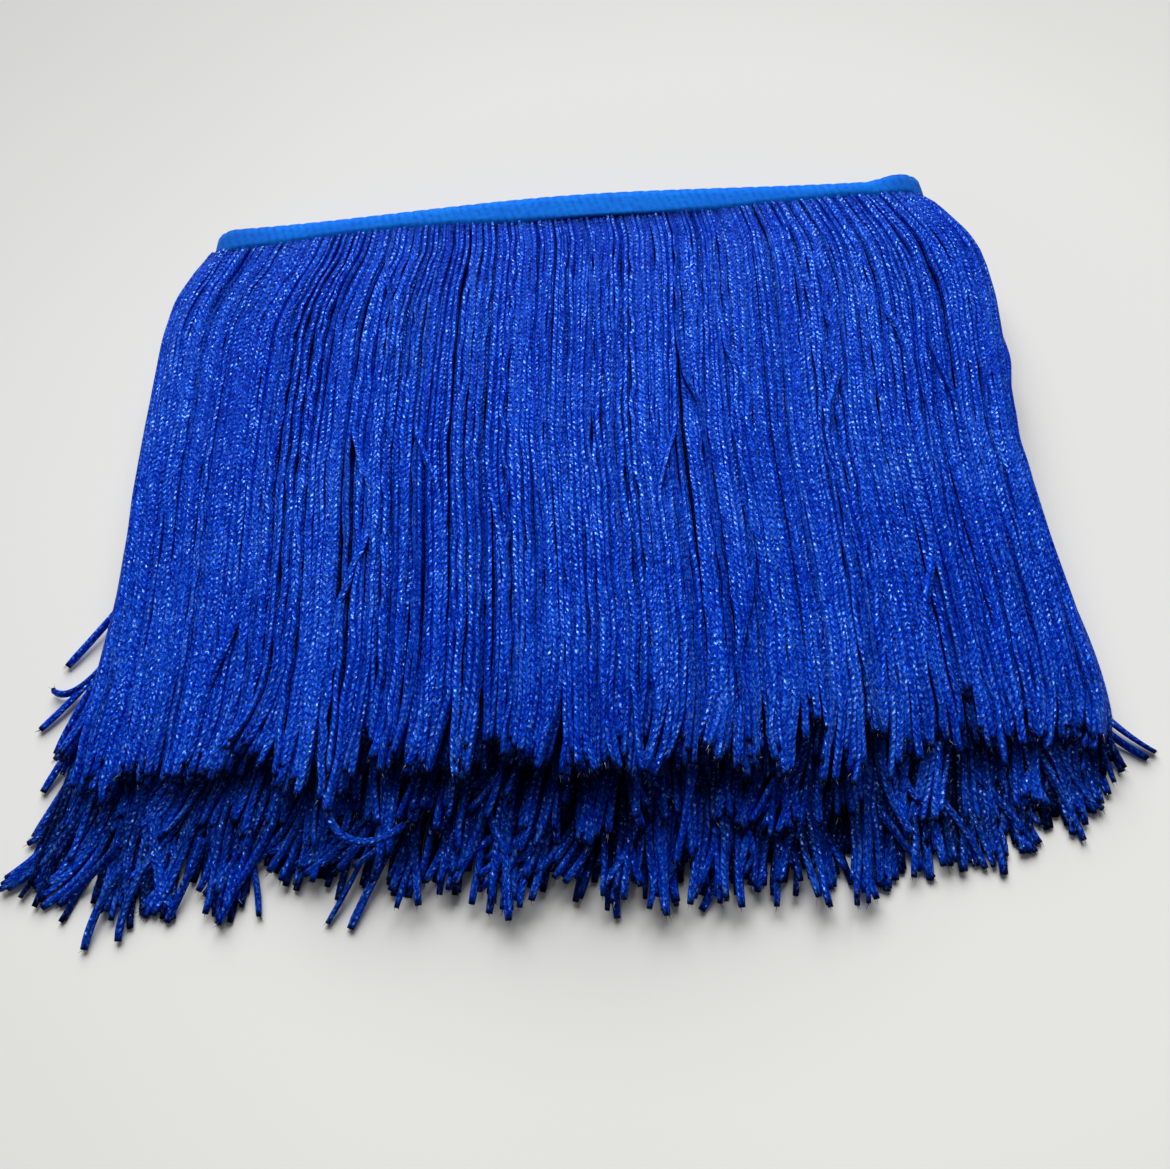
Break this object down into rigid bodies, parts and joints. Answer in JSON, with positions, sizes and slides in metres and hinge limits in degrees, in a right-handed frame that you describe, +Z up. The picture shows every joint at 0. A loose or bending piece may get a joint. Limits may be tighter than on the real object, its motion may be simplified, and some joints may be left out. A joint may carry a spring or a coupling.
{
  "type": "chainette fringe trim",
  "caption": "Long looped-strand fringe on a narrow woven heading, wound flat into a pack whose strands fall one way, pile up in tiers and splay at their cut ends.",
  "frame": {"origin": "middle of the heading's underside, on the surface that the pack lies on", "axes": "+X along the heading, +Y away from the strands, +Z up"},
  "size_m": [0.3516, 0.2765, 0.0346],
  "materials": {
    "heading": "woven, satin",
    "strands": "looped, metallic sparkle"
  },
  "bodies": {
    "root": {"heading_tape": "heading", "outer_fringe_upper": "strands", "middle_fringe_upper": "strands", "inner_fringe_upper": "strands", "inner_fringe_lower": "strands", "middle_fringe_lower": "strands", "outer_fringe_lower": "strands"}
  },
  "joints": []
}
